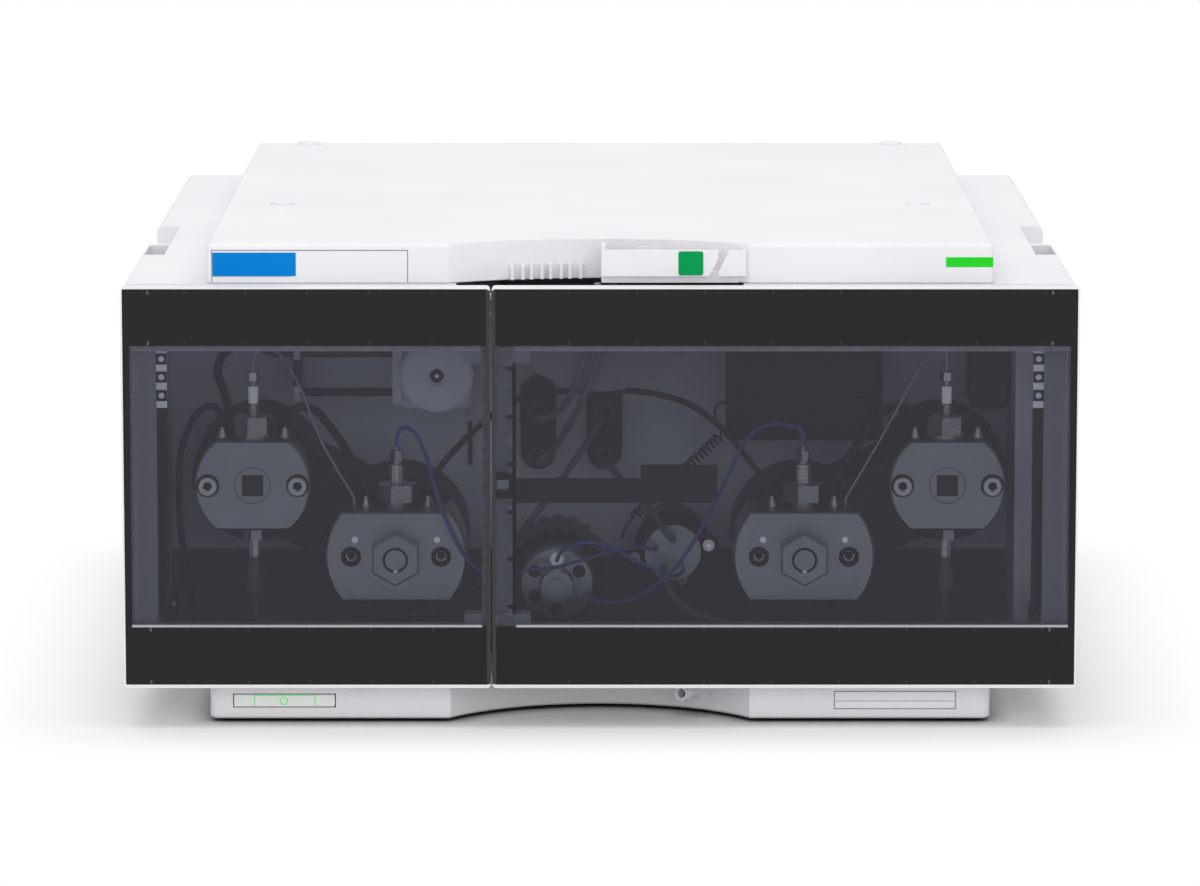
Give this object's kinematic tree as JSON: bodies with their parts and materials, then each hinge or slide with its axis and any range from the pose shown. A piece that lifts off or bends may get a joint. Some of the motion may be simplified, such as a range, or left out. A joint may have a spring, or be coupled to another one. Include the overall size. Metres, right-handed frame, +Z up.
{
  "type": "hplc pump module",
  "caption": "Bench-top high-pressure liquid chromatography pump module: flat white cabinet, smoked-glass doors and pump heads with capillaries behind them.",
  "frame": {"origin": "on the table under the middle of the cabinet's outside", "axes": "+X to the right seen from the doors, +Y to the back, +Z up"},
  "size_m": [0.396, 0.436, 0.2028],
  "materials": {
    "white_housing": "satin textured moulding",
    "feet_rubber": "matt",
    "dark_plastic": "satin",
    "black_plastic": "satin",
    "grey_plastic": "satin",
    "light_plastic": "satin",
    "liner_plastic": "satin",
    "button_plastic": "translucent, satin",
    "lamp_plastic": "translucent, lit",
    "smoked_glass": "polished, tinted",
    "sheet_steel": "powder coat",
    "black_metal": "satin black",
    "bare_steel": "machined",
    "head_steel": "ground and polished",
    "drive_aluminium": "machined",
    "tube_black": "matt",
    "tube_clear": "translucent",
    "tube_blue": "satin",
    "board_green": "solder mask"
  },
  "bodies": {
    "cabinet": {"base_tray": "white_housing", "blue_capillaries": "tube_blue", "chassis_plate": "sheet_steel", "clip_strips": "white_housing", "coiled_capillary": "bare_steel", "compartment_liner": "liner_plastic", "degasser": "black_plastic", "door_catch_arm": "black_metal", "drain_spout": "white_housing", "fan_frame": "black_plastic", "front_bezel": "white_housing", "head_screws": "bare_steel", "hinge_brackets": "bare_steel", "inner_head_a": "head_steel", "inner_head_b": "head_steel", "interface_board": "board_green", "leak_funnel": "grey_plastic", "leak_pan": "dark_plastic", "left_fascia": "white_housing", "left_side_cover": "white_housing", "mixer_block": "black_metal", "mixer_holder": "sheet_steel", "multi_valve": "head_steel", "outer_head_a": "head_steel", "outer_head_b": "head_steel", "power_inlet": "black_plastic", "power_supply": "sheet_steel", "pressure_sensor": "black_plastic", "pump_drives": "drive_aluminium", "purge_valve": "head_steel", "rear_panel": "sheet_steel", "right_side_cover": "white_housing", "rubber_feet": "feet_rubber", "shroud_a": "black_plastic", "shroud_b": "black_plastic", "solvent_tubes": "tube_clear", "stacking_pads": "white_housing", "status_lamp": "lamp_plastic", "steel_capillaries": "bare_steel", "top_cover": "white_housing", "tube_tray": "white_housing", "valve_fittings": "bare_steel", "wash_pump_body": "black_plastic", "wash_pump_cover": "light_plastic", "wash_tubes": "tube_black"},
    "left_door": {"left_door_frame": "white_housing", "left_door_glass": "smoked_glass"},
    "right_door": {"right_door_frame": "white_housing", "right_door_glass": "smoked_glass", "right_door_rail": "dark_plastic"},
    "power_button": {"power_button": "button_plastic"},
    "wash_rotor": {"wash_pump_rotor": "black_plastic"},
    "fan_rotor": {"fan_rotor": "black_plastic"},
    "purge_rotor": {"purge_rotor": "bare_steel"},
    "multi_rotor": {"multi_rotor": "bare_steel"},
    "plunger_outer_a": {"plunger_outer_a": "bare_steel"},
    "plunger_inner_a": {"plunger_inner_a": "bare_steel"},
    "plunger_outer_b": {"plunger_outer_b": "bare_steel"},
    "plunger_inner_b": {"plunger_inner_b": "bare_steel"}
  },
  "joints": [
    {"name": "left_door_hinge", "type": "hinge", "parent": "cabinet", "child": "left_door", "pos_m": [-0.1938, -0.209, 0.101], "axis": [0, 0, -1], "range_deg": [0, 95]},
    {"name": "right_door_hinge", "type": "hinge", "parent": "cabinet", "child": "right_door", "pos_m": [0.1938, -0.209, 0.101], "axis": [0, 0, 1], "range_deg": [0, 95]},
    {"name": "power_button_press", "type": "slide", "parent": "cabinet", "child": "power_button", "axis": [0, 1, 0], "range_m": [0, 0.0015], "stiffness_N_per_m": 400, "springref_m": -0.002},
    {"name": "wash_pump_spin", "type": "hinge", "parent": "cabinet", "child": "wash_rotor", "pos_m": [-0.0689, -0.15, 0.14], "axis": [0, 1, 0], "continuous": true},
    {"name": "fan_spin", "type": "hinge", "parent": "cabinet", "child": "fan_rotor", "pos_m": [0.062, 0.205, 0.104], "axis": [0, 1, 0], "continuous": true},
    {"name": "purge_valve_turn", "type": "hinge", "parent": "cabinet", "child": "purge_rotor", "pos_m": [-0.0182, -0.14, 0.0526], "axis": [0, 1, 0], "range_deg": [-60, 60]},
    {"name": "multi_valve_turn", "type": "hinge", "parent": "cabinet", "child": "multi_rotor", "pos_m": [0.0309, -0.13, 0.0643], "axis": [0, 1, 0], "range_deg": [-72, 72]},
    {"name": "plunger_outer_a_stroke", "type": "slide", "parent": "cabinet", "child": "plunger_outer_a", "axis": [0, -1, 0], "range_m": [0, 0.01]},
    {"name": "plunger_inner_a_stroke", "type": "slide", "parent": "cabinet", "child": "plunger_inner_a", "axis": [0, -1, 0], "range_m": [0, 0.01]},
    {"name": "plunger_outer_b_stroke", "type": "slide", "parent": "cabinet", "child": "plunger_outer_b", "axis": [0, -1, 0], "range_m": [0, 0.01]},
    {"name": "plunger_inner_b_stroke", "type": "slide", "parent": "cabinet", "child": "plunger_inner_b", "axis": [0, -1, 0], "range_m": [0, 0.01]}
  ]
}
